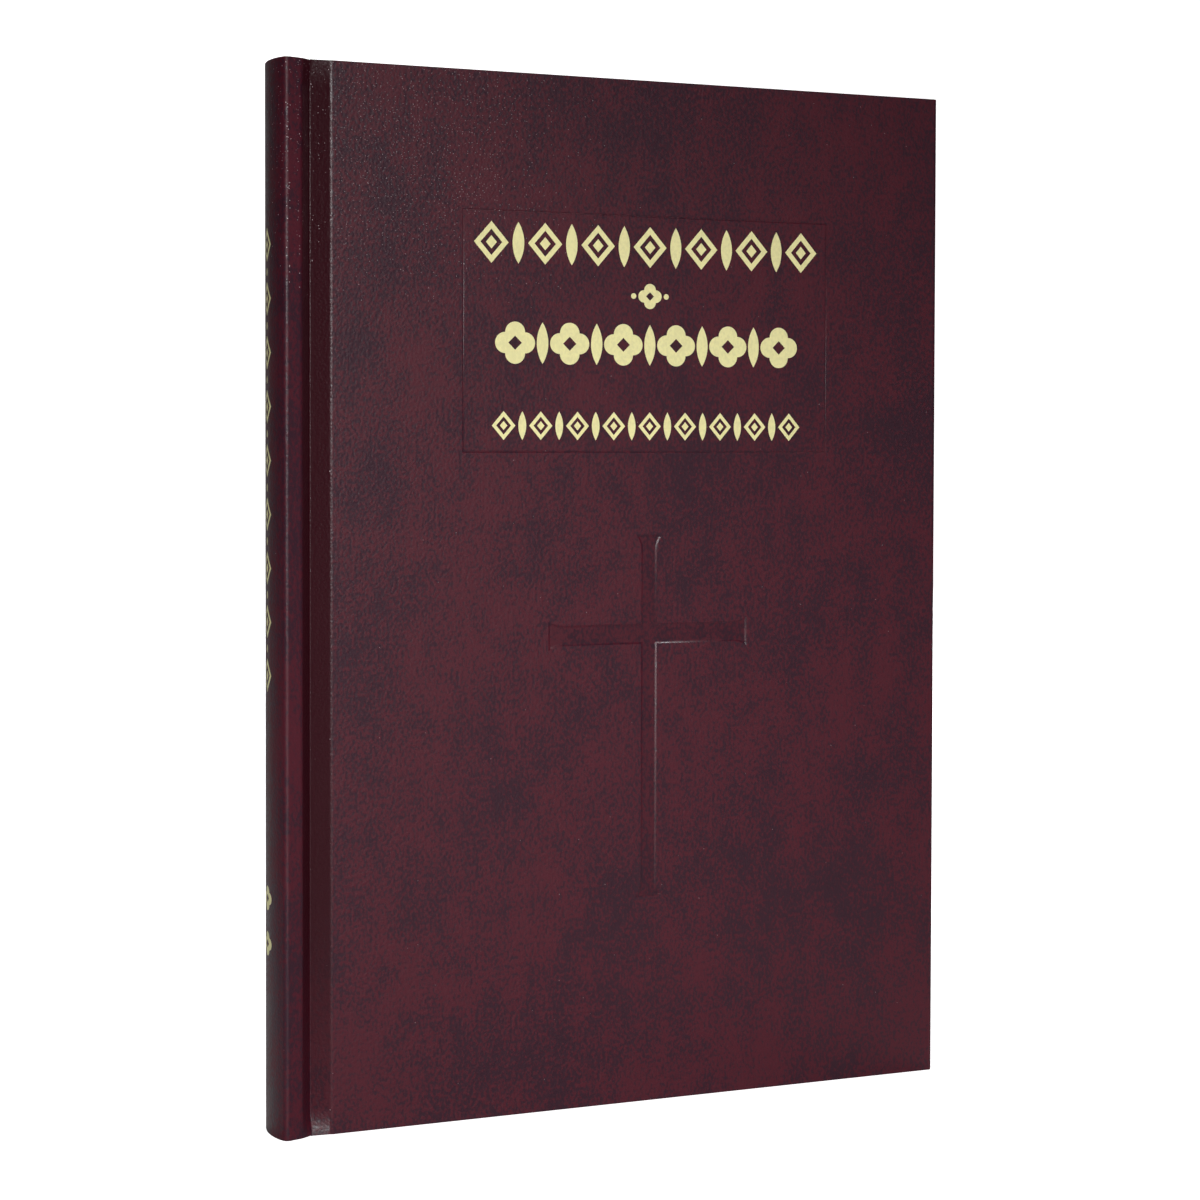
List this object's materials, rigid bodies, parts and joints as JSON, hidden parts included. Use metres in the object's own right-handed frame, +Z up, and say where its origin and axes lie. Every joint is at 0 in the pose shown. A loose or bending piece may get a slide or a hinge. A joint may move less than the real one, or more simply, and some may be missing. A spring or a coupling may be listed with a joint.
{
  "type": "prayer book",
  "caption": "Upright case-bound prayer book in dark mottled leather, rounded spine with joint grooves, gilt ornament rows, sunk cross, hinged covers and fanning sewn sections.",
  "frame": {"origin": "bottom centre of the closed book, on the surface it stands on", "axes": "+Z up along the spine to the head, +X from the spine to the fore-edge, -Y out of the front cover"},
  "size_m": [0.1626, 0.0156, 0.235],
  "materials": {
    "cover_leather": "dark oxblood mottled leather, fine grain, semi-gloss",
    "foil": "stamped gold foil",
    "board": "grey-brown millboard",
    "page_paper": "uncoated cream text paper",
    "endpaper": "plain heavy endpaper",
    "lining_paper": "kraft lining",
    "mull": "open starched gauze",
    "thread": "linen sewing thread",
    "headband": "corded red and cream band"
  },
  "bodies": {
    "spine": {"spine_leather": "cover_leather", "spine_card": "board", "spine_foil": "foil", "mull": "mull", "spine_lining": "lining_paper", "headband": "headband", "tailband": "headband", "sewing_thread": "thread", "section_1_fold": "page_paper", "section_2_fold": "page_paper", "section_3_fold": "page_paper", "section_4_fold": "page_paper", "section_5_fold": "page_paper", "section_6_fold": "page_paper", "section_7_fold": "page_paper", "section_8_fold": "page_paper"},
    "front_cover": {"front_leather": "cover_leather", "front_foil": "foil", "front_board": "board", "front_mull_flange": "mull", "front_pastedown": "endpaper"},
    "back_cover": {"back_leather": "cover_leather", "back_board": "board", "back_mull_flange": "mull", "back_pastedown": "endpaper"},
    "front_flyleaf": {"front_flyleaf": "endpaper"},
    "back_flyleaf": {"back_flyleaf": "endpaper"},
    "section_1": {"section_1": "page_paper"},
    "section_2": {"section_2": "page_paper"},
    "section_3": {"section_3": "page_paper"},
    "section_4": {"section_4": "page_paper"},
    "section_5": {"section_5": "page_paper"},
    "section_6": {"section_6": "page_paper"},
    "section_7": {"section_7": "page_paper"},
    "section_8": {"section_8": "page_paper"}
  },
  "joints": [
    {"name": "front_cover_open", "type": "hinge", "parent": "spine", "child": "front_cover", "pos_m": [-0.07285, -0.00387, 0], "axis": [0, 0, -1], "range_deg": [0, 90]},
    {"name": "back_cover_open", "type": "hinge", "parent": "spine", "child": "back_cover", "pos_m": [-0.07285, 0.00387, 0], "axis": [0, 0, 1], "range_deg": [0, 90]},
    {"name": "front_flyleaf_turn", "type": "hinge", "parent": "spine", "child": "front_flyleaf", "pos_m": [-0.07185, -0.0028, 0], "axis": [0, 0, -1], "range_deg": [0, 81]},
    {"name": "back_flyleaf_turn", "type": "hinge", "parent": "spine", "child": "back_flyleaf", "pos_m": [-0.07185, 0.0028, 0], "axis": [0, 0, 1], "range_deg": [0, 81]},
    {"name": "section_1_turn", "type": "hinge", "parent": "spine", "child": "section_1", "pos_m": [-0.07185, -0.0021, 0], "axis": [0, 0, -1], "range_deg": [0, 64.8]},
    {"name": "section_2_turn", "type": "hinge", "parent": "spine", "child": "section_2", "pos_m": [-0.07185, -0.0014, 0], "axis": [0, 0, -1], "range_deg": [0, 48.6]},
    {"name": "section_3_turn", "type": "hinge", "parent": "spine", "child": "section_3", "pos_m": [-0.07185, -0.0007, 0], "axis": [0, 0, -1], "range_deg": [0, 32.4]},
    {"name": "section_4_turn", "type": "hinge", "parent": "spine", "child": "section_4", "pos_m": [-0.07185, 0, 0], "axis": [0, 0, -1], "range_deg": [0, 16.2]},
    {"name": "section_5_turn", "type": "hinge", "parent": "spine", "child": "section_5", "pos_m": [-0.07185, 0, 0], "axis": [0, 0, 1], "range_deg": [0, 16.2]},
    {"name": "section_6_turn", "type": "hinge", "parent": "spine", "child": "section_6", "pos_m": [-0.07185, 0.0007, 0], "axis": [0, 0, 1], "range_deg": [0, 32.4]},
    {"name": "section_7_turn", "type": "hinge", "parent": "spine", "child": "section_7", "pos_m": [-0.07185, 0.0014, 0], "axis": [0, 0, 1], "range_deg": [0, 48.6]},
    {"name": "section_8_turn", "type": "hinge", "parent": "spine", "child": "section_8", "pos_m": [-0.07185, 0.0021, 0], "axis": [0, 0, 1], "range_deg": [0, 64.8]}
  ],
  "couplings": [
    {"joint": "front_flyleaf_turn", "follows": "front_cover_open", "ratio": 0.9},
    {"joint": "back_flyleaf_turn", "follows": "back_cover_open", "ratio": 0.9},
    {"joint": "section_1_turn", "follows": "front_cover_open", "ratio": 0.72},
    {"joint": "section_2_turn", "follows": "front_cover_open", "ratio": 0.54},
    {"joint": "section_3_turn", "follows": "front_cover_open", "ratio": 0.36},
    {"joint": "section_4_turn", "follows": "front_cover_open", "ratio": 0.18},
    {"joint": "section_5_turn", "follows": "back_cover_open", "ratio": 0.18},
    {"joint": "section_6_turn", "follows": "back_cover_open", "ratio": 0.36},
    {"joint": "section_7_turn", "follows": "back_cover_open", "ratio": 0.54},
    {"joint": "section_8_turn", "follows": "back_cover_open", "ratio": 0.72}
  ]
}
